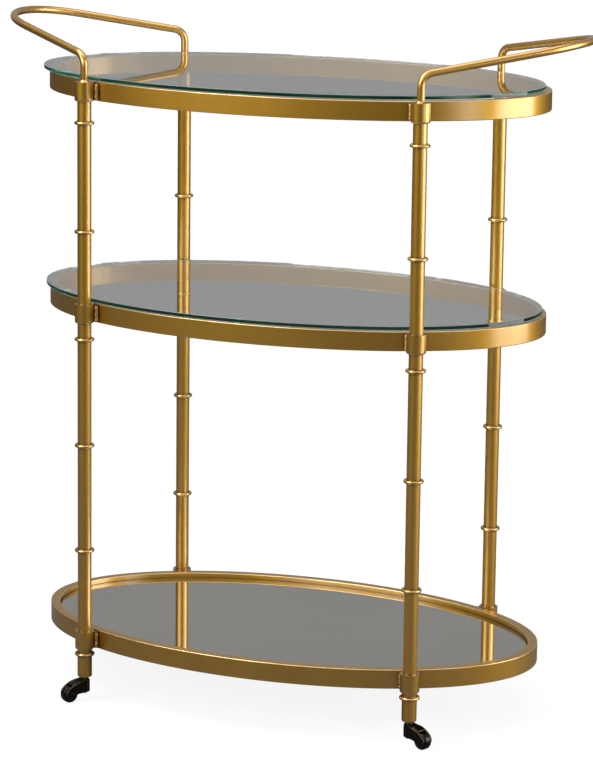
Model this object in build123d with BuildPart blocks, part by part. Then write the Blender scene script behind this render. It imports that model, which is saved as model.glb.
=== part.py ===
from build123d import *
from math import cos, hypot, pi, radians, sin, tan
import os

# Rolling bar cart: three oval rings on four beaded posts, two glass shelves, a mirror
# shelf, a rail handle at each end and four swivel casters.
# Millimetres. +X runs along the cart to the right, the front faces -Y and +Z is up.
# The origin is on the floor, under the middle of the cart.

# Oval rings, bent from bar on edge
ring_length = 652.0
ring_depth = 372.0
ring_bar_width = 12.0
ring_bar_height = 24.0
ring_bar_edge = 1.0
bottom_ring_from_floor = 66.5
bottom_to_middle_ring = 419.0
middle_to_top_ring = 276.0

# Collars welded to the rings, which the posts stand in
post_bearing = 49.55
collar_diameter = 24.0
collar_to_ring = 0.7
collar_bore = 8.4
collar_foot_round = 2.6
collar_rim_round = 0.8
collar_cap_round = 2.6
weld_bead_diameter = 5.0
weld_short_of_edge = 1.6

# Posts, feet and beads
post_diameter = 17.3
post_wall = 1.5
foot_diameter = 18.3
foot_wall = 2.0
foot_end_flat = 0.3
foot_end_from_floor = 30.3
bead_diameter = 25.0
bead_wire = 4.0
bead_pitch = 135.0
bead_to_collar = 1.0
top_bead_below_ring = 26.5

# Threaded inserts in the tube ends, and the studs that pull the sections together
stud_diameter = 8.0
stud_engagement = 12.0
insert_length = 14.0
slip_fit = 0.05

# Rail handles
handle_rod = 9.5
handle_upright = 32.4
handle_splay_angle = 32.0
handle_rise_angle = 11.5
handle_foot_bend = 15.9
handle_end_bend = 94.4
handle_ferrule_diameter = 13.0
handle_ferrule_height = 2.2

# Glass shelves on clear bumpers. Each lies a little to the left of its ring.
glass_thickness = 5.0
glass_arris = 0.6
top_glass_shift = -8.0
middle_glass_shift = -5.3
bumper_diameter = 8.0
bumper_height = 1.0
bumper_bearings = (35.0, 90.0, 145.0, 215.0, 270.0, 325.0)

# Mirror shelf, let into the bottom ring
mirror_below_rim = 6.5
mirror_thickness = 4.0
mirror_side_gap = 0.8
backing_thickness = 6.0
tab_thickness = 2.0
tab_width = 22.0
tab_reach = 18.0
tab_bearings = (0.0, 60.0, 120.0, 180.0, 240.0, 300.0)
screw_diameter = 3.5
screw_clearance = 0.25
screw_head_diameter = 7.0
screw_head_height = 1.8
screw_into_backing = 5.0
screw_from_rim = 11.0

# Casters
caster_socket_length = 20.0
stem_diameter = 8.0
stem_in_socket = 17.0
stem_slack = 0.08
neck_diameter = 10.0
neck_gap = 0.3
hub_diameter = 13.0
hub_bottom_from_floor = 10.5
hub_top_from_floor = 27.5
wheel_diameter = 20.6
wheel_width = 11.0
wheel_edge_round = 2.6
wheel_side_gap = 0.4
wheel_rim_gap = 0.9
wheel_trail = 22.5
cheek_thickness = 1.7
hood_thickness = 1.9
hood_reach = 20.5
hood_tip_drop = 0.3
hood_shoulder = 8.6
hood_shoulder_drop = 0.6
axle_diameter = 4.0
axle_slack = 0.05
axle_head_diameter = 6.0
axle_head_height = 0.8
axle_head_round = 0.5

# The cheeks' outline past the axle: how far ahead of its centre, and above or below it
cheek_reach = 8.2
cheek_reach_rise = 2.9
cheek_brow = 5.4
cheek_brow_rise = 8.0
cheek_belly = 5.9
cheek_belly_drop = 3.3
cheek_heel = -1.3
cheek_heel_drop = 4.2

# Corners of the cart: side, front or back, and the way the caster trails at rest,
# in degrees from +X
corners = {
    "front_left": (-1, -1, -125.0),
    "front_right": (1, -1, -22.0),
    "back_left": (-1, 1, 160.0),
    "back_right": (1, 1, 35.0),
}

# Heights
bottom_ring_z = bottom_ring_from_floor
middle_ring_z = bottom_ring_z + bottom_to_middle_ring
top_ring_z = middle_ring_z + middle_to_top_ring
top_rim_z = top_ring_z + ring_bar_height
ring_levels = {"bottom": bottom_ring_z, "middle": middle_ring_z, "top": top_ring_z}

# Outer and inner half axes of the rings
ring_x = ring_length / 2
ring_y = ring_depth / 2
bore_x = ring_x - ring_bar_width
bore_y = ring_y - ring_bar_width

# A post stands square to the ring's outer face, one collar radius and a weld gap away.
collar_radius = collar_diameter / 2
axis_to_face = collar_radius + collar_to_ring
bearing = radians(post_bearing)
normal_scale = hypot(cos(bearing) / ring_x, sin(bearing) / ring_y)
normal_x = cos(bearing) / ring_x / normal_scale
normal_y = sin(bearing) / ring_y / normal_scale
post_x = ring_x * cos(bearing) + axis_to_face * normal_x
post_y = ring_y * sin(bearing) + axis_to_face * normal_y

os.makedirs("parts", exist_ok=True)


def save(part, name):
    part.label = name
    export_step(part, f"parts/{name}.step")


def post_place(corner):
    side, face, _ = corners[corner]
    return side * post_x, face * post_y


def on_corner(corner, along, inward):
    """Plan point near a post: along the ring's face, and inward from the post's axis."""
    side, face, _ = corners[corner]
    x, y = post_place(corner)
    return (x - side * normal_x * inward - face * normal_y * along,
            y - face * normal_y * inward + side * normal_x * along)


def on_ring(angle, inset):
    """Plan point on an oval that lies inset from the ring's outer face."""
    return (ring_x - inset) * cos(radians(angle)), (ring_y - inset) * sin(radians(angle))


# Rings: one oval bar at each level, its long edges eased
for level, ring_z in ring_levels.items():
    with BuildPart() as ring:
        with BuildSketch(Plane.XY.offset(ring_z)):
            Ellipse(ring_x, ring_y)
            Ellipse(bore_x, bore_y, mode=Mode.SUBTRACT)
        extrude(amount=ring_bar_height)
        long_edges = ring.edges().group_by(Axis.Z)
        fillet(long_edges[0] + long_edges[-1], ring_bar_edge)
    save(ring.part, f"ring_{level}")

# Collars: a bored barrel outside the ring at each post, with a weld bead down each side
# that fills the crevice between barrel and ring
weld_radius = weld_bead_diameter / 2
weld_inward = axis_to_face - weld_radius
weld_along = ((collar_radius + weld_radius) ** 2 - weld_inward ** 2) ** 0.5
touch_share = collar_radius / (collar_radius + weld_radius)
for level, ring_z in ring_levels.items():
    with BuildPart() as collars:
        for corner in corners:
            x, y = post_place(corner)
            upright = Plane(origin=(x, y, ring_z), x_dir=(1, 0, 0), z_dir=(0, -1, 0))
            with BuildSketch(upright):
                with Locations((collar_radius / 2, ring_bar_height / 2)):
                    Rectangle(collar_radius, ring_bar_height)
                outer = vertices().group_by(Axis.X)[-1].sort_by(Axis.Y)
                fillet(outer[0], collar_foot_round)
                fillet(outer[-1], collar_cap_round if level == "top" else collar_rim_round)
            revolve(axis=Axis((x, y, ring_z), (0, 0, 1)))
            with BuildSketch(Plane.XY.offset(ring_z + weld_short_of_edge)):
                for hand in (-1, 1):
                    with Locations(on_corner(corner, hand * weld_along, weld_inward)):
                        Circle(weld_radius)
                Polygon(
                    on_corner(corner, -weld_along * touch_share, weld_inward * touch_share),
                    on_corner(corner, weld_along * touch_share, weld_inward * touch_share),
                    on_corner(corner, weld_along, axis_to_face + collar_to_ring),
                    on_corner(corner, -weld_along, axis_to_face + collar_to_ring),
                    align=None)
            extrude(amount=ring_bar_height - 2 * weld_short_of_edge)
            with Locations((x, y, ring_z + ring_bar_height / 2)):
                Cylinder(collar_bore / 2, ring_bar_height, mode=Mode.SUBTRACT)
        with BuildSketch(Plane.XY.offset(ring_z)):
            Ellipse(ring_x, ring_y)
        extrude(amount=ring_bar_height, mode=Mode.SUBTRACT)
    save(collars.part, f"collars_{level}")

# Post sections: plain tubes that butt on the collars above and below them
post_radius = post_diameter / 2
foot_radius = foot_diameter / 2
tube_runs = {
    "upper_post": (middle_ring_z + ring_bar_height, top_ring_z, post_radius, post_wall),
    "lower_post": (bottom_ring_z + ring_bar_height, middle_ring_z, post_radius, post_wall),
    "foot": (foot_end_from_floor, bottom_ring_z, foot_radius, foot_wall),
}
for run, (low, high, radius, wall) in tube_runs.items():
    for corner in corners:
        with BuildPart() as tube:
            with BuildSketch(Plane.XY.offset(low)):
                with Locations(post_place(corner)):
                    Circle(radius)
                    Circle(radius - wall, mode=Mode.SUBTRACT)
            extrude(amount=high - low)
            if run == "foot":
                end_edges = tube.edges().group_by(Axis.Z)[0].sort_by(SortBy.RADIUS)
                fillet(end_edges[-1], foot_wall - foot_end_flat)
        save(tube.part, f"{run}_{corner}")

# Beads: rings of round wire slipped over the tubes and brazed, at one pitch from the
# top ring down, left out where a collar is
bead_clearance = bead_wire / 2 + bead_to_collar
for corner in corners:
    x, y = post_place(corner)
    with BuildPart() as beads:
        for low, high, radius, wall in tube_runs.values():
            bead_z = top_ring_z - top_bead_below_ring
            while bead_z > low + bead_clearance:
                if bead_z < high - bead_clearance:
                    upright = Plane(origin=(x, y, bead_z), x_dir=(1, 0, 0), z_dir=(0, -1, 0))
                    with BuildSketch(upright):
                        with Locations((bead_diameter / 2 - bead_wire / 2, 0)):
                            Circle(bead_wire / 2)
                        with Locations((radius / 2, 0)):
                            Rectangle(radius, bead_wire, mode=Mode.SUBTRACT)
                    revolve(axis=Axis((x, y, bead_z), (0, 0, 1)))
                bead_z -= bead_pitch
    save(beads.part, f"beads_{corner}")

# Inserts: threaded plugs set flush in each tube end that meets a collar
stud_radius = stud_diameter / 2
for run, (low, high, radius, wall) in tube_runs.items():
    ends = [high - insert_length]
    if run != "foot":
        ends.append(low)
    with BuildPart() as inserts:
        for corner in corners:
            for end_z in ends:
                with BuildSketch(Plane.XY.offset(end_z)):
                    with Locations(post_place(corner)):
                        Circle(radius - wall - slip_fit)
                        Circle(stud_radius + slip_fit, mode=Mode.SUBTRACT)
                extrude(amount=insert_length)
    save(inserts.part, f"{run}_inserts")

# Studs: one through each bottom and middle collar, into the inserts above and below
with BuildPart() as studs:
    for stud_z in (bottom_ring_z, middle_ring_z):
        with BuildSketch(Plane.XY.offset(stud_z - stud_engagement)):
            with Locations(*[post_place(corner) for corner in corners]):
                Circle(stud_radius)
        extrude(amount=ring_bar_height + 2 * stud_engagement)
save(studs.part, "joining_studs")

# Handles: a bent rod at each end of the cart. It rises from the front post's top collar,
# leans out and up to a wide bend, and comes back to the rear post. Its two ends are
# turned down to a thread that goes through the collar into the upper post.
bend_z = top_rim_z + handle_upright
apex_x = post_x + post_y / tan(radians(handle_splay_angle))
apex_z = bend_z + tan(radians(handle_rise_angle)) * (apex_x - post_x)
for name, side in (("handle_left", -1), ("handle_right", 1)):
    with BuildPart() as handle:
        with BuildLine() as rail:
            FilletPolyline(
                (side * post_x, -post_y, top_rim_z),
                (side * post_x, -post_y, bend_z),
                (side * apex_x, 0, apex_z),
                (side * post_x, post_y, bend_z),
                (side * post_x, post_y, top_rim_z),
                radius=[handle_foot_bend, handle_end_bend, handle_foot_bend])
        with BuildSketch(Plane.XY.offset(top_rim_z)):
            with Locations((side * post_x, -post_y)):
                Circle(handle_rod / 2)
        sweep(path=rail.line)
        rod_volume = handle.part.volume
        for face in (-1, 1):
            with Locations((side * post_x, face * post_y, top_rim_z)):
                Cone(handle_ferrule_diameter / 2, handle_rod / 2, handle_ferrule_height,
                     align=(Align.CENTER, Align.CENTER, Align.MIN))
                Cylinder(stud_radius, ring_bar_height + stud_engagement,
                         align=(Align.CENTER, Align.CENTER, Align.MAX))
    expected = sum(edge.length for edge in rail.edges()) * pi * (handle_rod / 2) ** 2
    print(name, "rod volume over section times length:", round(rod_volume / expected, 4))
    save(handle.part, name)

# Glass shelves: ground and polished oval plates, the size of the rings, on bumpers
glass_z = {level: ring_levels[level] + ring_bar_height + bumper_height
           for level in ("middle", "top")}
glass_shift = {"middle": middle_glass_shift, "top": top_glass_shift}
for level in glass_z:
    with BuildPart() as glass:
        with BuildSketch(Plane.XY.offset(glass_z[level])):
            with Locations((glass_shift[level], 0)):
                Ellipse(ring_x, ring_y)
        extrude(amount=glass_thickness)
        rims = glass.edges().group_by(Axis.Z)
        chamfer(rims[0] + rims[-1], glass_arris)
    save(glass.part, f"glass_{level}")

    with BuildPart() as bumpers:
        with BuildSketch(Plane.XY.offset(glass_z[level] - bumper_height)):
            with Locations(*[on_ring(angle, ring_bar_width / 2) for angle in bumper_bearings]):
                Circle(bumper_diameter / 2)
        extrude(amount=bumper_height)
    save(bumpers.part, f"bumpers_{level}")

# Mirror shelf: the mirror lies on a backing board, and both lie on tabs inside the ring
rim_z = bottom_ring_z + ring_bar_height
mirror_z = rim_z - mirror_below_rim - mirror_thickness
backing_z = mirror_z - backing_thickness
tab_z = backing_z - tab_thickness
screw_radius = screw_diameter / 2
screw_places = [on_ring(angle, ring_bar_width + screw_from_rim) for angle in tab_bearings]

with BuildPart() as mirror:
    with BuildSketch(Plane.XY.offset(mirror_z)):
        Ellipse(bore_x - mirror_side_gap, bore_y - mirror_side_gap)
    extrude(amount=mirror_thickness)
    chamfer(mirror.edges().group_by(Axis.Z)[-1], glass_arris)
save(mirror.part, "mirror")

with BuildPart() as backing:
    with BuildSketch(Plane.XY.offset(backing_z)):
        Ellipse(bore_x - mirror_side_gap, bore_y - mirror_side_gap)
    extrude(amount=backing_thickness)
    with BuildSketch(Plane.XY.offset(backing_z)):
        with Locations(*screw_places):
            Circle(screw_radius + slip_fit)
    extrude(amount=screw_into_backing + slip_fit, mode=Mode.SUBTRACT)
save(backing.part, "mirror_backing")

with BuildPart() as tabs:
    with BuildSketch(Plane.XY.offset(tab_z)):
        for angle in tab_bearings:
            rim_x, rim_y = on_ring(angle, ring_bar_width)
            square_to_rim = Vector(cos(radians(angle)) / bore_x, sin(radians(angle)) / bore_y)
            turn = Vector(1, 0).get_signed_angle(square_to_rim)
            with Locations(Location((rim_x, rim_y, 0), (0, 0, turn))):
                Rectangle(2 * tab_reach, tab_width)
        Ellipse(bore_x, bore_y, mode=Mode.INTERSECT)
        with Locations(*screw_places):
            Circle(screw_radius + screw_clearance, mode=Mode.SUBTRACT)
    extrude(amount=tab_thickness)
save(tabs.part, "shelf_tabs")

with BuildPart() as screws:
    with BuildSketch(Plane.XY.offset(tab_z - screw_head_height)):
        with Locations(*screw_places):
            Circle(screw_head_diameter / 2)
    extrude(amount=screw_head_height)
    fillet(screws.edges().group_by(Axis.Z)[0], screw_head_height / 2)
    with BuildSketch(Plane.XY.offset(tab_z)):
        with Locations(*screw_places):
            Circle(screw_radius)
    extrude(amount=tab_thickness + screw_into_backing)
save(screws.part, "shelf_screws")

# Caster sockets: bored plugs pressed into the lower ends of the feet
stem_radius = stem_diameter / 2
with BuildPart() as sockets:
    with BuildSketch(Plane.XY.offset(foot_end_from_floor)):
        with Locations(*[post_place(corner) for corner in corners]):
            Circle(foot_radius - foot_wall - slip_fit)
            Circle(stem_radius + stem_slack, mode=Mode.SUBTRACT)
    extrude(amount=caster_socket_length)
save(sockets.part, "caster_sockets")

# Casters: a stem turns in the socket and carries the forked horn, which trails to one
# side. The wheel turns between the horn's cheeks on a riveted axle.
wheel_radius = wheel_diameter / 2
pocket_half = wheel_width / 2 + wheel_side_gap
horn_half = pocket_half + cheek_thickness
pocket_radius = wheel_radius + wheel_rim_gap
hood_tip_z = wheel_radius + pocket_radius + hood_thickness - hood_tip_drop
for corner, (_, _, trail_angle) in corners.items():
    x, y = post_place(corner)
    trail_x, trail_y = cos(radians(trail_angle)), sin(radians(trail_angle))
    axle_place = (x + wheel_trail * trail_x, y + wheel_trail * trail_y, wheel_radius)
    side_view = Plane(origin=(x, y, 0), x_dir=(trail_x, trail_y, 0),
                      z_dir=(trail_y, -trail_x, 0))
    across = Plane(origin=axle_place, x_dir=(trail_x, trail_y, 0),
                   z_dir=(trail_y, -trail_x, 0))

    # The stem's wide neck sits on the hub, under the socket.
    with BuildPart() as stem:
        with Locations((x, y, hub_bottom_from_floor)):
            Cylinder(stem_radius, foot_end_from_floor + stem_in_socket - hub_bottom_from_floor,
                     align=(Align.CENTER, Align.CENTER, Align.MIN))
        with Locations((x, y, hub_top_from_floor)):
            Cylinder(neck_diameter / 2, foot_end_from_floor - neck_gap - hub_top_from_floor,
                     align=(Align.CENTER, Align.CENTER, Align.MIN))
    save(stem.part, f"caster_stem_{corner}")

    # The horn's side view, run across the whole width, hollowed for the wheel and bored
    with BuildPart() as horn:
        with BuildSketch(side_view):
            with BuildLine():
                heel = (wheel_trail + cheek_heel, wheel_radius - cheek_heel_drop)
                nose = (wheel_trail + cheek_reach, wheel_radius + cheek_reach_rise)
                hood_tip = (hood_reach, hood_tip_z)
                Polyline(hood_tip, (hood_shoulder, hub_top_from_floor - hood_shoulder_drop),
                         (0, hub_top_from_floor), (0, hub_bottom_from_floor),
                         (hub_diameter / 2, hub_bottom_from_floor), heel)
                ThreePointArc(
                    heel,
                    (wheel_trail + cheek_belly, wheel_radius - cheek_belly_drop),
                    nose)
                ThreePointArc(
                    nose,
                    (wheel_trail + cheek_brow, wheel_radius + cheek_brow_rise),
                    hood_tip)
            make_face()
        extrude(amount=horn_half, both=True)
        with BuildSketch(Plane.XY.offset(hub_bottom_from_floor)):
            with Locations((x, y)):
                Circle(hub_diameter / 2)
        extrude(amount=hub_top_from_floor - hub_bottom_from_floor)
        with BuildSketch(across):
            Circle(pocket_radius)
            with Locations((0, -pocket_radius)):
                Rectangle(2 * pocket_radius, 2 * pocket_radius)
            with Locations((pocket_radius, 0)):
                Rectangle(2 * pocket_radius, 2 * pocket_radius)
        extrude(amount=pocket_half, both=True, mode=Mode.SUBTRACT)
        with BuildSketch(across):
            Circle(axle_diameter / 2 + slip_fit)
        extrude(amount=horn_half, both=True, mode=Mode.SUBTRACT)
        with Locations((x, y, (hub_bottom_from_floor + hub_top_from_floor) / 2)):
            Cylinder(stem_radius + slip_fit, hub_top_from_floor - hub_bottom_from_floor,
                     mode=Mode.SUBTRACT)
    save(horn.part, f"caster_horn_{corner}")

    with BuildPart() as axle:
        with BuildSketch(across):
            Circle(axle_diameter / 2)
        extrude(amount=horn_half, both=True)
        for end in (-1, 1):
            with BuildSketch(across.offset(end * horn_half)):
                Circle(axle_head_diameter / 2)
            extrude(amount=end * axle_head_height)
        heads = axle.edges().filter_by(GeomType.CIRCLE).sort_by(
            Axis(axle_place, across.z_dir))
        fillet([heads[0], heads[-1]], axle_head_round)
    save(axle.part, f"caster_axle_{corner}")

    with BuildPart() as wheel:
        with BuildSketch(across):
            Circle(wheel_radius)
        extrude(amount=wheel_width / 2, both=True)
        fillet(wheel.edges().filter_by(GeomType.CIRCLE), wheel_edge_round)
        with BuildSketch(across):
            Circle(axle_diameter / 2 + axle_slack)
        extrude(amount=wheel_width / 2, both=True, mode=Mode.SUBTRACT)
    save(wheel.part, f"caster_wheel_{corner}")
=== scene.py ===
import math

import bmesh
import bpy
from mathutils import Matrix, Vector


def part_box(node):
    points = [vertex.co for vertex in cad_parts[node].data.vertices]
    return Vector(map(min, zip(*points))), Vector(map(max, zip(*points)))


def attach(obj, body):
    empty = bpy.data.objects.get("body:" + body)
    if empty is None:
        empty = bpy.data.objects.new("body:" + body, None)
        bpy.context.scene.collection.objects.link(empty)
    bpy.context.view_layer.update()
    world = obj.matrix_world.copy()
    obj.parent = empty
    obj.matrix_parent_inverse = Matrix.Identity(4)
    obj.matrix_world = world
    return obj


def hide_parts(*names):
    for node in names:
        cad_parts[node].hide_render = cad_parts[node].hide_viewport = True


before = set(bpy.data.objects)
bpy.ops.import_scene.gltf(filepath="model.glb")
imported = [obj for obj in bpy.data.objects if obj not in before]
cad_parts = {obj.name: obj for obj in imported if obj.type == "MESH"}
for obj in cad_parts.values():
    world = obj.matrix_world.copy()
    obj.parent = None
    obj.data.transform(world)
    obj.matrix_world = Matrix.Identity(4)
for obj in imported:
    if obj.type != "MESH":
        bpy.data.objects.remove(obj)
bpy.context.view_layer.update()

# Rings: three equal ovals, each bent from solid bar on edge and welded shut. They are brushed
# along the bar, plated antique gold and lacquered, and their long edges are eased and rubbed
# bright. The bottom one holds the mirror, and the upper two carry the glass.
ring_body = (0.60, 0.322, 0.024, 1)
ring_cloud = (0.51, 0.264, 0.016, 1)
ring_rubbed = (0.92, 0.68, 0.34, 1)
ring_grain = (30.0, 30.0, 2600.0)
lacquer_ior = 1.85
lacquer_roughness = 0.20
ring_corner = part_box("ring_top")[1]
ring_half_length = ring_corner.x
ring_half_depth = ring_corner.y
ring_squash = ring_half_depth / ring_half_length


def put(tree, kind, inputs, **settings):
    """Adds a shader node. An input is given a plain value, or the socket that feeds it."""
    node = tree.nodes.new("ShaderNode" + kind)
    for name, value in settings.items():
        setattr(node, name, value)
    for name, value in inputs.items():
        if isinstance(value, bpy.types.NodeSocket):
            tree.links.new(value, node.inputs[name])
        else:
            node.inputs[name].default_value = value
    return node


def sums(tree, operation, first, second=0.0):
    """One arithmetic step on values or sockets."""
    return put(tree, "Math", {0: first, 1: second}, operation=operation).outputs[0]


def span(tree, value, low, high, to_low=0.0, to_high=1.0):
    """Carries a value from one range to another, held at both ends."""
    return put(tree, "MapRange", {"Value": value, "From Min": low, "From Max": high,
                                  "To Min": to_low, "To Max": to_high}).outputs[0]


def tint(tree, share, first, second):
    """Mixes two colours, or sockets with colours, by a share from 0 to 1."""
    return put(tree, "Mix", {0: share, 6: first, 7: second}, data_type="RGBA").outputs[2]


def effect(name, inputs, outputs):
    """Starts a node group for an effect that several finishes share."""
    tree = bpy.data.node_groups.new(name, "ShaderNodeTree")
    for label, value in inputs.items():
        kind = "NodeSocketFloat"
        if isinstance(value, tuple):
            kind = "NodeSocketColor" if len(value) == 4 else "NodeSocketVector"
        socket = tree.interface.new_socket(label, in_out="INPUT", socket_type=kind)
        socket.default_value = value
    for label, kind in outputs.items():
        tree.interface.new_socket(label, in_out="OUTPUT", socket_type="NodeSocket" + kind)
    return tree, tree.nodes.new("NodeGroupInput").outputs, tree.nodes.new("NodeGroupOutput").inputs


def use(tree, group, inputs):
    """Places an effect in a material."""
    node = tree.nodes.new("ShaderNodeGroup")
    node.node_tree = group
    for name, value in inputs.items():
        if isinstance(value, bpy.types.NodeSocket):
            tree.links.new(value, node.inputs[name])
        else:
            node.inputs[name].default_value = value
    return node.outputs


def start_finish(name):
    """Starts a material: its node tree, its shader and the piece's own coordinates."""
    material = bpy.data.materials.new(name)
    material.use_nodes = True
    tree = material.node_tree
    return material, tree, tree.nodes["Principled BSDF"], put(tree, "TexCoord", {}).outputs


def set_shader(shader, **values):
    """Sets plain values on the shader's own sockets."""
    for name, value in values.items():
        shader.inputs[name.replace("_", " ")].default_value = value


def dress(material, *nodes):
    """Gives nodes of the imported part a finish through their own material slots."""
    for node in nodes:
        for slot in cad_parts[node].material_slots:
            slot.material = material


# Rounded edges: a mask that is 1 where a surface leans halfway between level and upright, as
# it does along the eased edges of the rings and the rims of the collars.
eased_edge, _, out = effect("eased_edge", {}, {"Edge": "Float"})
lean = put(eased_edge, "SeparateXYZ", {0: put(eased_edge, "TexCoord", {}).outputs["Normal"]})
flatness = sums(eased_edge, "MULTIPLY", lean.outputs["Z"], lean.outputs["Z"])
both = sums(eased_edge, "MULTIPLY", flatness, sums(eased_edge, "SUBTRACT", 1.0, flatness))
eased_edge.links.new(span(eased_edge, both, 0.03, 0.22), out["Edge"])

# Brushing: long fine scratches and the wider streaks among them. Stretch is large across the
# scratches and small along them.
streak_size = 0.14
brushing, given, out = effect("brushing", {"Place": (0.0, 0.0, 0.0), "Stretch": ring_grain},
                              {"Scratch": "Float", "Streak": "Float"})
drawn = put(brushing, "VectorMath", {0: given["Place"], 1: given["Stretch"]},
            operation="MULTIPLY").outputs[0]
brushing.links.new(put(brushing, "TexNoise", {"Vector": drawn, "Scale": 1.0, "Detail": 4.0,
                                              "Roughness": 0.7}).outputs[0], out["Scratch"])
wide = put(brushing, "VectorMath", {0: drawn, "Scale": streak_size},
           operation="SCALE").outputs[0]
brushing.links.new(put(brushing, "TexNoise", {"Vector": wide, "Scale": 1.0, "Detail": 2.0,
                                              "Roughness": 0.5}).outputs[0], out["Streak"])

# Lacquered plating: cloudy colour, rubbed bright along the edges, with painted shade darkening
# the crevices and joints, and with the scratches and a fine orange peel in its surface.
streak_strength = 0.35
crevice_reach = 0.004
crevice_shade = 0.28
edge_polish = 0.08
peel_height = 0.04
plating, given, out = effect(
    "plating",
    {"Place": (0.0, 0.0, 0.0), "Body": ring_body, "Cloud": ring_cloud, "Rubbed": ring_rubbed,
     "Edge": 0.0, "Scratch": 0.5, "Streak": 0.5, "Scratch Depth": 0.5, "Roughness": 0.36},
    {"Color": "Color", "Roughness": "Float", "Height": "Float"})
cloud = put(plating, "TexNoise", {"Vector": given["Place"], "Scale": 22.0, "Detail": 3.0,
                                  "Roughness": 0.55}).outputs[0]
peel = put(plating, "TexNoise", {"Vector": given["Place"], "Scale": 2200.0, "Detail": 2.0,
                                 "Roughness": 0.6}).outputs[0]
cloudy = tint(plating, span(plating, cloud, 0.35, 0.70), given["Body"], given["Cloud"])
streaky = tint(plating, span(plating, given["Streak"], 0.35, 0.75, 0.0, streak_strength),
               cloudy, given["Cloud"])
rubbed = tint(plating, sums(plating, "MULTIPLY", given["Edge"],
                            span(plating, cloud, 0.30, 0.62, 1.0, 0.55)),
              streaky, given["Rubbed"])
# Painted shade: ambient occlusion darkens the colour in crevices and joints, where shade falls.
open_air = put(plating, "AmbientOcclusion", {"Distance": crevice_reach}, samples=6).outputs["AO"]
crevice = span(plating, open_air, 0.30, 0.95, crevice_shade, 1.0)
with_painted_shade = put(plating, "Mix", {0: 1.0, 6: rubbed, 7: crevice}, data_type="RGBA",
            blend_type="MULTIPLY").outputs[2]
plating.links.new(with_painted_shade, out["Color"])
rough = sums(plating, "ADD", given["Roughness"],
             span(plating, given["Scratch"], 0.3, 0.7, -0.02, 0.03))
rough = sums(plating, "ADD", rough, span(plating, cloud, 0.3, 0.7, -0.015, 0.02))
rough = sums(plating, "SUBTRACT", rough, sums(plating, "MULTIPLY", given["Edge"], edge_polish))
plating.links.new(rough, out["Roughness"])
height = sums(plating, "MULTIPLY", given["Scratch"], given["Scratch Depth"])
plating.links.new(sums(plating, "ADD", height, sums(plating, "MULTIPLY", peel, peel_height)),
                  out["Height"])


def gold_finish(name, body, cloud_colour, rubbed_colour, stretch, scratch_depth, roughness,
                edge_share=1.0, oval=False, lacquer=lacquer_roughness):
    """Antique gold plating under clear lacquer. With oval, scratches on a level face follow
    the ring instead of running straight."""
    material, tree, shader, coords = start_finish(name)
    place = coords["Object"]
    across = place
    if oval:
        at = put(tree, "SeparateXYZ", {0: place}).outputs
        squashed = put(tree, "VectorMath", {0: place, 1: (ring_squash, 1.0, 0.0)},
                       operation="MULTIPLY").outputs[0]
        radius = put(tree, "VectorMath", {0: squashed}, operation="LENGTH").outputs["Value"]
        across = put(tree, "CombineXYZ", {0: at["X"], 1: at["Y"],
                                          2: sums(tree, "ADD", at["Z"], radius)}).outputs[0]
    marks = use(tree, brushing, {"Place": across, "Stretch": stretch})
    edge = sums(tree, "MULTIPLY", use(tree, eased_edge, {})["Edge"], edge_share)
    made = use(tree, plating, {
        "Place": place, "Body": body, "Cloud": cloud_colour, "Rubbed": rubbed_colour,
        "Edge": edge, "Scratch": marks["Scratch"], "Streak": marks["Streak"],
        "Scratch Depth": scratch_depth, "Roughness": roughness})
    bump = put(tree, "Bump", {"Height": made["Height"], "Strength": 0.04, "Distance": 0.0002})
    tree.links.new(made["Color"], shader.inputs["Base Color"])
    tree.links.new(made["Roughness"], shader.inputs["Roughness"])
    tree.links.new(bump.outputs[0], shader.inputs["Normal"])
    set_shader(shader, Metallic=1.0, Coat_Weight=1.0, Coat_Roughness=lacquer,
               Coat_IOR=lacquer_ior)
    return material


ring_gold = gold_finish("ring_gold", ring_body, ring_cloud, ring_rubbed, stretch=ring_grain,
                        scratch_depth=0.8, roughness=0.44, oval=True)
dress(ring_gold, "ring_bottom", "ring_middle", "ring_top")

# Collars: short bored barrels outside the rings, turned from bar and polished a little finer
# than the rings. Each is held to its ring by two upright weld beads, one on either side, laid
# by hand before plating, so that their ripples show.
collar_gold = gold_finish("collar_gold", body=(0.62, 0.334, 0.028, 1),
                          cloud_colour=(0.52, 0.270, 0.019, 1), rubbed_colour=ring_rubbed,
                          stretch=(60.0, 60.0, 2400.0), scratch_depth=0.6, roughness=0.40,
                          edge_share=0.8)
dress(collar_gold, "collars_bottom", "collars_middle", "collars_top")
corners = ("front_left", "front_right", "back_left", "back_right")
collar_to_face = 0.0127
weld_inward = 0.0102
weld_aside = 0.0103
weld_short_of_edge = 0.0016
weld_radius = 0.00254
weld_tip_share = 0.55
weld_sag = 0.0009
weld_sides = 16
weld_crease = 60.0
ripples = 11
rows_per_ripple = 6
ripple_rise = 0.00026
ripple_scatter = 0.00034
shortest_ripple = 0.7
ripple_spread = 0.6
step_hash = 12.99
bead_hash = 78.23
hash_size = 43758.5
first_lump_draw = 40
first_drift_draw = 80
bead_numbers_per_metre = 10
foot_rounds = 30


def smooth(mesh, angle):
    """Smooth shading that keeps edges sharper than the angle, in degrees."""
    for face in mesh.polygons:
        face.use_smooth = True
    mesh.set_sharp_from_angle(angle=math.radians(angle))


def piece(name, mesh, body, material):
    """Puts a made piece in the scene, on its body, in its finish."""
    made = bpy.data.objects.new(name, mesh)
    bpy.context.collection.objects.link(made)
    mesh.materials.append(material)
    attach(made, body)
    return made


def skin(mesh, rows):
    """Joins rows of points into one closed skin, capped at both ends."""
    around = len(rows[0])
    loops = [[mesh.verts.new(point) for point in row] for row in rows]
    for low, high in zip(loops, loops[1:]):
        for k in range(around):
            n = (k + 1) % around
            mesh.faces.new((low[k], low[n], high[n], high[k]))
    mesh.faces.new(loops[0][::-1])
    mesh.faces.new(loops[-1])


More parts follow.
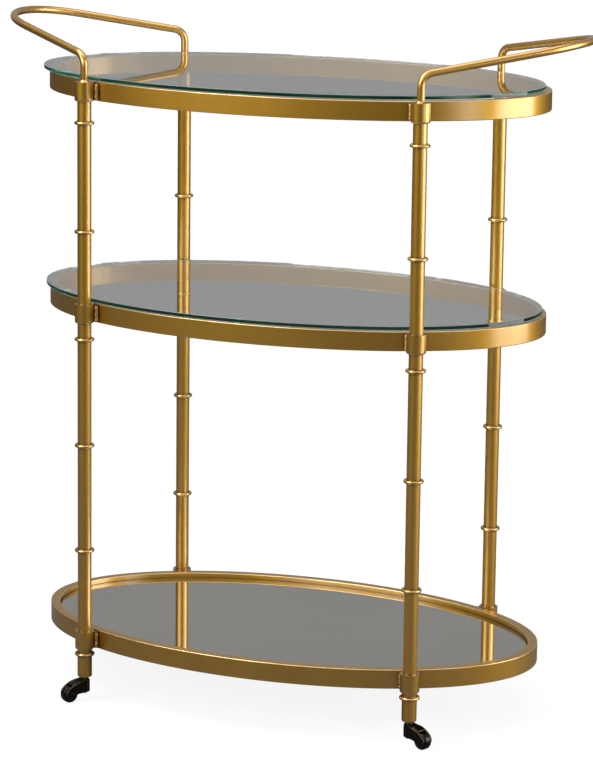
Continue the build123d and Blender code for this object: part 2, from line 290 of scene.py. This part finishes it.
def chance(step, number):
    """A number from 0 to 1 that is always the same for one step of one weld bead."""
    value = math.sin(step * step_hash + number * bead_hash) * hash_size
    return value - math.floor(value)


def weld_bead(mesh, centre, facing, bottom, top, number):
    """One weld bead: overlapping ripples, each a little different in size, place and length."""
    aside = Vector((-facing.y, facing.x, 0.0))
    pitches = [shortest_ripple + ripple_spread * chance(step, number)
               for step in range(ripples)]
    starts = [sum(pitches[:step]) / sum(pitches) for step in range(ripples + 1)]
    count = ripples * rows_per_ripple
    rows = []
    for row in range(count + 1):
        step, part = divmod(row, rows_per_ripple)
        share = part / rows_per_ripple
        if step == ripples:
            step = ripples - 1
            share = 1.0
        here = chance(step + first_lump_draw, number)
        after = chance(step + first_lump_draw + 1, number)
        lump = here + (after - here) * share
        radius = weld_radius + ripple_rise * math.sin(math.pi * share) + ripple_scatter * lump
        end = min(row, count - row) / rows_per_ripple
        radius *= min(1.0, weld_tip_share + (1.0 - weld_tip_share) * end)
        drift = ripple_scatter * (chance(step + first_drift_draw, number) - 0.5)
        level = bottom + (top - bottom) * (
            starts[step] + (starts[step + 1] - starts[step]) * share)
        points = []
        for k in range(weld_sides):
            angle = math.tau * k / weld_sides
            sag = -weld_sag * math.cos(angle) * min(1.0, end)
            out = facing * math.cos(angle) + aside * math.sin(angle)
            place = centre + out * radius + aside * drift
            points.append((place.x, place.y, level + sag))
        rows.append(points)
    skin(mesh, rows)


def ring_foot(x, y):
    """The outward direction of a ring's face where it is nearest to a post at x, y."""
    away = Vector((x, y, 0.0)).normalized()
    for _ in range(foot_rounds):
        foot = Vector((x, y, 0.0)) - away * collar_to_face
        away = Vector((foot.x / ring_half_length ** 2,
                       foot.y / ring_half_depth ** 2, 0.0)).normalized()
    return away


for level in ("bottom", "middle", "top"):
    ring_floor, ring_rim = (end.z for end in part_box(f"ring_{level}"))
    welds = bmesh.new()
    for number, corner in enumerate(corners):
        low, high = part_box(f"upper_post_{corner}")
        post = Vector(((low.x + high.x) / 2, (low.y + high.y) / 2, 0.0))
        away = ring_foot(post.x, post.y)
        along = Vector((-away.y, away.x, 0.0))
        for side in (-1, 1):
            centre = post - away * weld_inward + along * side * weld_aside
            facing = (along * side + away).normalized()
            weld_bead(welds, centre, facing, ring_floor + weld_short_of_edge,
                      ring_rim - weld_short_of_edge,
                      number * 2 + (side > 0) + ring_floor * bead_numbers_per_metre)
    mesh = bpy.data.meshes.new(f"weld_beads_{level}")
    welds.to_mesh(mesh)
    welds.free()
    smooth(mesh, weld_crease)
    piece(f"weld_beads_{level}", mesh, "cart_frame", collar_gold)

# Posts and feet: drawn steel tube, polished along its length, plated and lacquered satin.
# They screw together through the collars. The feet are a little thicker, and their lower
# ends are rounded over.
post_gold = gold_finish("post_gold", body=(0.60, 0.322, 0.024, 1),
                        cloud_colour=(0.54, 0.284, 0.018, 1),
                        rubbed_colour=(0.90, 0.65, 0.31, 1), stretch=(2400.0, 2400.0, 26.0),
                        scratch_depth=0.5, roughness=0.44, edge_share=0.7)
for corner in corners:
    dress(post_gold, f"upper_post_{corner}", f"lower_post_{corner}", f"foot_{corner}")

# Beads: rings of round wire, closed round the tubes and brazed there. They are polished
# brighter than the tubes.
bead_gold = gold_finish("bead_gold", body=(0.67, 0.37, 0.048, 1),
                        cloud_colour=(0.57, 0.30, 0.034, 1), rubbed_colour=ring_rubbed,
                        stretch=(700.0, 700.0, 700.0), scratch_depth=0.3, roughness=0.30,
                        edge_share=0.3, lacquer=0.16)
for corner in corners:
    dress(bead_gold, f"beads_{corner}")

# Handles: one solid rod at each end, cold bent, with a small turned ferrule where it stands
# on its collar and a threaded end that screws down into the post.
handle_gold = gold_finish("handle_gold", body=(0.65, 0.354, 0.043, 1),
                          cloud_colour=(0.56, 0.292, 0.030, 1),
                          rubbed_colour=(0.90, 0.66, 0.32, 1), stretch=(500.0, 500.0, 500.0),
                          scratch_depth=0.4, roughness=0.36, edge_share=0.0, lacquer=0.22)
dress(handle_gold, "handle_left", "handle_right")

# Hidden hardware: zinc-plated steel. Inserts are pressed in the tube ends, studs join them
# through the collars, tabs and screws hold the mirror's board, and sockets take the casters.
zinc_grey = (0.50, 0.50, 0.50, 1)
zinc_pale = (0.62, 0.62, 0.61, 1)
zinc, tree, shader, coords = start_finish("plain_steel")
spangle = put(tree, "TexVoronoi", {"Vector": coords["Object"], "Scale": 260.0})
speckle = put(tree, "TexNoise", {"Vector": coords["Object"], "Scale": 420.0, "Detail": 3.0})
tree.links.new(tint(tree, span(tree, spangle.outputs["Color"], 0.2, 0.8), zinc_grey, zinc_pale),
               shader.inputs["Base Color"])
tree.links.new(span(tree, speckle.outputs[0], 0.3, 0.7, 0.32, 0.46), shader.inputs["Roughness"])
set_shader(shader, Metallic=1.0)
dress(zinc, "upper_post_inserts", "lower_post_inserts", "foot_inserts", "joining_studs",
      "shelf_tabs", "shelf_screws", "caster_sockets")

# Glass shelves: 5 mm clear float glass, cut oval, its edge ground and polished. Looking in
# at the edge the eye follows the sheet for a long way, so it shows dark green. The edge also
# has a painted glow: a faint green emission of its own, paler along the arris, though the
# glass is no lamp.
glass_green = (0.02, 0.32, 0.17, 1)
glass_clear = (0.93, 0.96, 0.945, 1)
edge_glow_deep = (0.003, 0.019, 0.010, 1)
edge_glow_pale = (0.012, 0.038, 0.024, 1)
face_unlit = (0, 0, 0, 1)
arris_painted_glow = (0.15, 0.20, 0.185, 1)
arris_roughness = 0.35
lamp_through_glass = (0.86, 0.90, 0.87, 1)
glass, tree, shader, coords = start_finish("shelf_glass")
upright = put(tree, "SeparateXYZ", {0: coords["Normal"]}).outputs["Z"]
face = span(tree, sums(tree, "ABSOLUTE", upright), 0.15, 0.60)
tree.links.new(tint(tree, face, glass_green, glass_clear), shader.inputs["Base Color"])
smear = put(tree, "TexNoise", {"Vector": coords["Object"], "Scale": 9.0, "Detail": 4.0})
arris = sums(tree, "MULTIPLY", span(tree, sums(tree, "ABSOLUTE", upright), 0.25, 0.45),
             span(tree, sums(tree, "ABSOLUTE", upright), 0.90, 0.98, 1.0, 0.0))
wisp = put(tree, "TexNoise", {"Vector": coords["Object"], "Scale": 14.0,
                              "Detail": 3.0}).outputs[0]
# Painted glow: the edge emits a faint green light of its own, and the arris a paler one.
deep = tint(tree, span(tree, wisp, 0.35, 0.70), edge_glow_deep, edge_glow_pale)
painted_edge_glow = tint(tree, face, deep, face_unlit)
tree.links.new(tint(tree, arris, painted_edge_glow, arris_painted_glow), shader.inputs["Emission Color"])
polish = span(tree, smear.outputs[0], 0.4, 0.8, 0.0, 0.03)
tree.links.new(sums(tree, "ADD", polish, sums(tree, "MULTIPLY", arris, arris_roughness)),
               shader.inputs["Roughness"])
set_shader(shader, Transmission_Weight=1.0, IOR=1.5, Emission_Strength=1.0)
path = put(tree, "LightPath", {}).outputs
clear = put(tree, "BsdfTransparent", {"Color": lamp_through_glass})
lamps = put(tree, "MixShader", {0: path["Is Shadow Ray"], 1: shader.outputs[0],
                                2: clear.outputs[0]})
tree.links.new(lamps.outputs[0], tree.nodes["Material Output"].inputs["Surface"])
dress(glass, "glass_middle", "glass_top")

# Bumpers: small clear discs of soft plastic with a sticky back, set on the rings' rims. They
# keep the glass off the metal and stop it sliding.
plastic_hazy = (0.86, 0.86, 0.83, 1)
plastic_clear = (0.95, 0.95, 0.93, 1)
bumper, tree, shader, coords = start_finish("clear_bumper")
haze = put(tree, "TexNoise", {"Vector": coords["Object"], "Scale": 500.0, "Detail": 3.0})
tree.links.new(span(tree, haze.outputs[0], 0.3, 0.7, 0.12, 0.30), shader.inputs["Roughness"])
tree.links.new(tint(tree, haze.outputs[0], plastic_hazy, plastic_clear),
               shader.inputs["Base Color"])
set_shader(shader, Transmission_Weight=0.7, IOR=1.42)
dress(bumper, "bumpers_middle", "bumpers_top")

# Mirror: 4 mm silvered glass with a polished arris. It is let into the bottom ring and lies
# on the backing board, a little below the rim.
silver_clean = (0.72, 0.70, 0.655, 1)
silver_dull = (0.68, 0.66, 0.61, 1)
mirror_edge = (0.10, 0.16, 0.13, 1)
mirror, tree, shader, coords = start_finish("mirror_glass")
upright = put(tree, "SeparateXYZ", {0: coords["Normal"]}).outputs["Z"]
smear = put(tree, "TexNoise", {"Vector": coords["Object"], "Scale": 7.0, "Detail": 5.0})
silver = tint(tree, span(tree, smear.outputs[0], 0.35, 0.70), silver_clean, silver_dull)
tree.links.new(tint(tree, span(tree, upright, 0.20, 0.90), mirror_edge, silver),
               shader.inputs["Base Color"])
tree.links.new(span(tree, smear.outputs[0], 0.35, 0.75, 0.015, 0.05), shader.inputs["Roughness"])
set_shader(shader, Metallic=1.0)
dress(mirror, "mirror")

# Backing board: plain brown hardboard under the mirror. It is screwed to the tabs inside the
# bottom ring.
board_dark = (0.17, 0.105, 0.060, 1)
board_pale = (0.28, 0.19, 0.12, 1)
board, tree, shader, coords = start_finish("backing_board")
fibre = put(tree, "TexNoise", {"Vector": coords["Object"], "Scale": 160.0, "Detail": 8.0,
                               "Roughness": 0.7})
tree.links.new(tint(tree, fibre.outputs[0], board_dark, board_pale),
               shader.inputs["Base Color"])
tree.links.new(put(tree, "Bump", {"Height": fibre.outputs[0], "Strength": 0.3,
                                  "Distance": 0.0003}).outputs[0], shader.inputs["Normal"])
set_shader(shader, Roughness=0.75)
dress(board, "mirror_backing")

# Casters: small furniture casters in dark bronze. The cast horn has a round hub on the stem,
# two curved cheeks with a raised rib along the outer edge, and a short hood between them.
# Edges are rubbed bright, and the pale colour there is partly a painted highlight. The axle is
# riveted over at both ends.
bronze_worn_and_glint = (0.46, 0.38, 0.27, 1)
cheek_inner = 0.0059
cheek_outer = 0.0076
cheek_rounding = 0.0004
rib_radius = 0.00085
rib_sunk = 0.0002
rib_thin_start = 0.35
rib_thin_end = 0.75
hood_overlap = 0.0006
hood_rounding = 0.0005
neck_length = 0.0115
neck_thickness = 0.24
hub_sides = 40
hub_cap_radius = 0.0005
horn_crease = 50.0
cheek_outline = ((0.0000, 0.0262), (0.0086, 0.0259), (0.0148, 0.0248), (0.0206, 0.0224),
                 (0.0262, 0.0190), (0.0300, 0.0146), (0.0308, 0.0110), (0.0284, 0.0070),
                 (0.0246, 0.0055), (0.0205, 0.0062), (0.0165, 0.0088), (0.0125, 0.0103),
                 (0.0070, 0.0107), (0.0000, 0.0107))
rib_line = ((0.0060, 0.0255), (0.0112, 0.0250), (0.0160, 0.0238), (0.0208, 0.0217),
            (0.0256, 0.0184), (0.0290, 0.0144), (0.0299, 0.0112))
hood_outline = ((0.0010, 0.0268), (0.0086, 0.0268), (0.0148, 0.0258), (0.0200, 0.0238),
                (0.0212, 0.0226), (0.0200, 0.0216), (0.0156, 0.0199), (0.0123, 0.0162),
                (0.0109, 0.0112), (0.0060, 0.0110), (0.0010, 0.0110))
hub_profile = ((0.0, 0.0107), (0.0060, 0.0107), (0.0064, 0.0110), (0.0065, 0.0115),
               (0.0065, 0.0252), (0.0063, 0.0259), (0.0054, 0.0270), (0.0049, 0.0273),
               (0.0, 0.0273))


def bronze_finish(name, body, brown, rub_and_glint, roughness, scale):
    """Dark patinated bronze: brown clouds, edges rubbed bright and painted pale as a highlight,
    the whole waxed.
    """
    material, tree, shader, coords = start_finish(name)
    scuff = put(tree, "TexNoise", {"Vector": coords["Object"], "Scale": scale, "Detail": 5.0,
                                   "Roughness": 0.65}).outputs[0]
    # The pale colour on sharp edges is partly wear and partly a painted highlight along the ribs.
    sharp = span(tree, put(tree, "NewGeometry", {}).outputs["Pointiness"], 0.53, 0.64)
    sharp = sums(tree, "MULTIPLY", sharp, span(tree, scuff, 0.30, 0.60, 0.3, rub_and_glint))
    patina = tint(tree, span(tree, scuff, 0.40, 0.70), body, brown)
    tree.links.new(tint(tree, sharp, patina, bronze_worn_and_glint), shader.inputs["Base Color"])
    tree.links.new(span(tree, scuff, 0.3, 0.7, roughness - 0.05, roughness + 0.06),
                   shader.inputs["Roughness"])
    tree.links.new(put(tree, "Bump", {"Height": scuff, "Strength": 0.10,
                                      "Distance": 0.0002}).outputs[0], shader.inputs["Normal"])
    set_shader(shader, Metallic=1.0, Coat_Weight=0.35, Coat_Roughness=0.12)
    return material


def laid_curve(curve, points, closed):
    """Lays a curve through points and gives its mesh. An open one is thinner at its ends."""
    spline = curve.splines.new("BEZIER")
    spline.bezier_points.add(len(points) - 1)
    for point, place in zip(spline.bezier_points, points):
        point.co = place
        point.handle_left_type = "AUTO"
        point.handle_right_type = "AUTO"
    spline.use_cyclic_u = closed
    if not closed:
        spline.bezier_points[0].radius = rib_thin_start
        spline.bezier_points[-1].radius = rib_thin_end
    drawn = bpy.data.objects.new("drawn", curve)
    mesh = bpy.data.meshes.new_from_object(drawn)
    bpy.data.objects.remove(drawn)
    return mesh


def side_plate(outline, half, rounding):
    """A plate cut to an outline in side view, with its edges rounded."""
    curve = bpy.data.curves.new("plate", "CURVE")
    curve.dimensions = "2D"
    curve.fill_mode = "BOTH"
    curve.resolution_u = 6
    curve.extrude = half - rounding
    curve.bevel_depth = rounding
    curve.bevel_resolution = 2
    curve.offset = -rounding
    return laid_curve(curve, [(x, z, 0.0) for x, z in outline], closed=True)


def rib_bead(line, across, radius):
    """A half-round rib along a line on a cheek, dying away at both ends."""
    curve = bpy.data.curves.new("rib", "CURVE")
    curve.dimensions = "3D"
    curve.resolution_u = 6
    curve.bevel_depth = radius
    curve.bevel_resolution = 3
    curve.use_fill_caps = True
    return laid_curve(curve, [(x, z, across) for x, z in line], closed=False)


def add_part(whole, part, across=0.0):
    """Adds a part drawn in side view to the horn, turned upright and moved across it."""
    part.transform(Matrix(((1, 0, 0, 0), (0, 0, -1, across), (0, 1, 0, 0), (0, 0, 0, 1))))
    whole.from_mesh(part)


horn = bmesh.new()
cheek_half = (cheek_outer - cheek_inner) / 2
for side in (-1, 1):
    add_part(horn, side_plate(cheek_outline, cheek_half, cheek_rounding),
             side * (cheek_inner + cheek_half))
    add_part(horn, rib_bead(rib_line, -side * (cheek_outer - rib_sunk), rib_radius))
add_part(horn, side_plate(hood_outline, cheek_inner + hood_overlap, hood_rounding))
# Cheeks and hood thin down to the hub's width on the outside, and stay clear of the wheel.
for vertex in horn.verts:
    share = min(max(vertex.co.x / neck_length, 0.0), 1.0)
    thickness = neck_thickness + (1.0 - neck_thickness) * share * share * (3.0 - 2.0 * share)
    outside = abs(vertex.co.y) - cheek_inner
    if outside > 0.0:
        vertex.co.y = math.copysign(cheek_inner + outside * thickness, vertex.co.y)
turned = []
for radius, height in hub_profile:
    radius = max(radius, hub_cap_radius)
    turned.append([(radius * math.cos(math.tau * k / hub_sides),
                    radius * math.sin(math.tau * k / hub_sides), height)
                   for k in range(hub_sides)])
skin(horn, turned)
horn_bronze = bronze_finish("caster_bronze", body=(0.010, 0.006, 0.003, 1),
                            brown=(0.040, 0.024, 0.009, 1), rub_and_glint=1.0, roughness=0.30,
                            scale=320.0)
wheel_bronze = bronze_finish("wheel_bronze", body=(0.010, 0.007, 0.004, 1),
                             brown=(0.032, 0.022, 0.012, 1), rub_and_glint=0.5, roughness=0.24,
                             scale=240.0)
for corner in corners:
    stem_low, stem_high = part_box(f"caster_stem_{corner}")
    wheel_low, wheel_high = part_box(f"caster_wheel_{corner}")
    stem_place = (stem_low + stem_high) / 2
    trail = (wheel_low + wheel_high) / 2 - stem_place
    mesh = bpy.data.meshes.new(f"horn_{corner}")
    horn.to_mesh(mesh)
    mesh.transform(Matrix.Translation((stem_place.x, stem_place.y, 0.0))
                   @ Matrix.Rotation(math.atan2(trail.y, trail.x), 4, "Z"))
    smooth(mesh, horn_crease)
    made = piece(f"horn_{corner}", mesh, f"caster_{corner}", horn_bronze)
    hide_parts(f"caster_horn_{corner}")
    dress(horn_bronze, f"caster_stem_{corner}", f"caster_axle_{corner}")
    dress(wheel_bronze, f"caster_wheel_{corner}")
horn.free()

# Floor: a plain pale studio sweep. It shows white to the eye and keeps a soft shadow of the
# cart, and metal and glass see the studio's grey in it.
floor_half = 30.0
floor_grey = (0.15, 0.15, 0.15, 1)
white_by_cart = 0.89
floor_in_metal = 0.02
glass_sees_near = 0.75
glass_sees_far = 0.09
mesh = bpy.data.meshes.new("floor")
mesh.from_pydata([(x * floor_half, y * floor_half, 0)
                  for x, y in ((-1, -1), (1, -1), (1, 1), (-1, 1))], [], [(0, 1, 2, 3)])
floor = bpy.data.objects.new("floor", mesh)
bpy.context.collection.objects.link(floor)
paper, tree, shader, coords = start_finish("studio_floor")
path = put(tree, "LightPath", {}).outputs
reach = put(tree, "VectorMath", {0: coords["Object"]}, operation="LENGTH").outputs["Value"]
mirrored = sums(tree, "ADD", sums(tree, "MULTIPLY", path["Is Glossy Ray"], floor_in_metal),
                sums(tree, "MULTIPLY", path["Is Transmission Ray"],
                     span(tree, reach, 1.1, 2.3, glass_sees_near, glass_sees_far)))
white = sums(tree, "MULTIPLY", path["Is Camera Ray"],
             span(tree, reach, 0.9, 3.0, white_by_cart, 1.0))
seen = sums(tree, "ADD", white, mirrored)
tree.links.new(seen, shader.inputs["Emission Strength"])
set_shader(shader, Base_Color=floor_grey, Roughness=0.9, Specular_IOR_Level=0.0,
           Emission_Color=(1, 1, 1, 1))
mesh.materials.append(paper)

# World: the same studio all round. White to the eye; metal and glass see a lit grey backdrop
# behind the cart and a darker room on the camera's side.
backdrop_grey = 0.31
room_grey = 0.10
room_light = 0.2
world = bpy.data.worlds.new("studio")
bpy.context.scene.world = world
world.use_nodes = True
tree = world.node_tree
path = put(tree, "LightPath", {}).outputs
way = put(tree, "SeparateXYZ", {0: put(tree, "TexCoord", {}).outputs["Generated"]}).outputs["Y"]
grey = span(tree, way, -0.2, 0.5, room_grey, backdrop_grey)
mirrored = sums(tree, "ADD", path["Is Glossy Ray"], path["Is Transmission Ray"])
glow = sums(tree, "ADD", path["Is Camera Ray"], sums(tree, "MULTIPLY", mirrored, grey))
glow = sums(tree, "ADD", glow, sums(tree, "MULTIPLY", path["Is Diffuse Ray"], room_light))
tree.links.new(glow, tree.nodes["Background"].inputs["Strength"])
tree.nodes["Background"].inputs["Color"].default_value = (1, 1, 1, 1)


# Lights: tall softboxes on the right and high on the left of the camera, weaker ones above
# the camera and overhead, and a small strong one high on the left that draws the edges. The
# one at the right front fades towards its sides, so that glass mirrors it without a hard edge.
def softbox(name, place, width, height, brightness, target, soft_edge=0.0):
    """A softbox that faces its target. Its light may fade towards its upright edges."""
    lamp = bpy.data.lights.new(name, "AREA")
    lamp.shape = "RECTANGLE"
    lamp.size = width
    lamp.size_y = height
    lamp.energy = brightness * math.pi * width * height
    holder = bpy.data.objects.new(name, lamp)
    holder.location = place
    holder.rotation_mode = "QUATERNION"
    holder.rotation_quaternion = (Vector(target) - Vector(place)).to_track_quat("-Z", "Y")
    holder.visible_camera = False
    bpy.context.collection.objects.link(holder)
    if soft_edge:
        lamp.use_nodes = True
        tree = lamp.node_tree
        spot = put(tree, "NewGeometry", {}).outputs["Parametric"]
        across = put(tree, "SeparateXYZ", {0: spot}).outputs["X"]
        inset = sums(tree, "MINIMUM", across, sums(tree, "SUBTRACT", 1.0, across))
        tree.links.new(span(tree, inset, 0.0, soft_edge),
                       tree.nodes["Emission"].inputs["Strength"])


softbox("right_softbox", (2.28, 0.32, 1.00), width=1.7, height=1.9, brightness=4.1,
        target=(0.0, 0.0, 1.00))
softbox("right_front_softbox", (2.04, -1.27, 1.15), width=1.1, height=1.5, brightness=2.5,
        target=(0.0, 0.0, 1.15), soft_edge=0.45)
softbox("left_softbox", (-1.30, -2.25, 1.70), width=2.0, height=1.4, brightness=4.5,
        target=(0.0, 0.0, 1.40))
softbox("front_softbox", (0.56, -2.64, 2.10), width=2.2, height=0.8, brightness=2.0,
        target=(0.0, 0.0, 0.90))
softbox("top_softbox", (0.0, 0.0, 2.60), width=2.4, height=2.0, brightness=1.8,
        target=(0.0, 0.01, 0.45))
softbox("edge_softbox", (-1.20, -0.80, 2.45), width=1.1, height=0.8, brightness=9.0,
        target=(0.0, 0.0, 0.60))

# Camera: where the photograph was taken from, to the right of the cart's front and well above
# the top shelf. The lens is long, and the frame is shifted to hold the whole cart.
frame_height = 761
camera_azimuth = math.radians(21.40)
camera_pitch = math.radians(10.59)
camera_roll = math.radians(0.69)
camera_distance = 3.87001
camera_target = Vector((0.0036, 0.0, 0.54795))
focal_pixels = 3090.84
centre_rise = 114.0
back = Vector((math.sin(camera_azimuth) * math.cos(camera_pitch),
               -math.cos(camera_azimuth) * math.cos(camera_pitch), math.sin(camera_pitch)))
right = Vector((math.cos(camera_azimuth), math.sin(camera_azimuth), 0.0))
up = back.cross(right)
rolled_right = right * math.cos(camera_roll) + up * math.sin(camera_roll)
rolled_up = up * math.cos(camera_roll) - right * math.sin(camera_roll)
camera = bpy.data.objects.new("camera", bpy.data.cameras.new("camera"))
camera.data.sensor_width = 36.0
camera.data.lens = camera.data.sensor_width * focal_pixels / frame_height
camera.data.shift_y = -centre_rise / frame_height
camera.data.clip_end = 200.0
camera.matrix_world = Matrix.Translation(camera_target + back * camera_distance) @ Matrix(
    (rolled_right, rolled_up, back)).transposed().to_4x4()
bpy.context.collection.objects.link(camera)
bpy.context.scene.camera = camera
bpy.context.scene.view_settings.view_transform = "Standard"
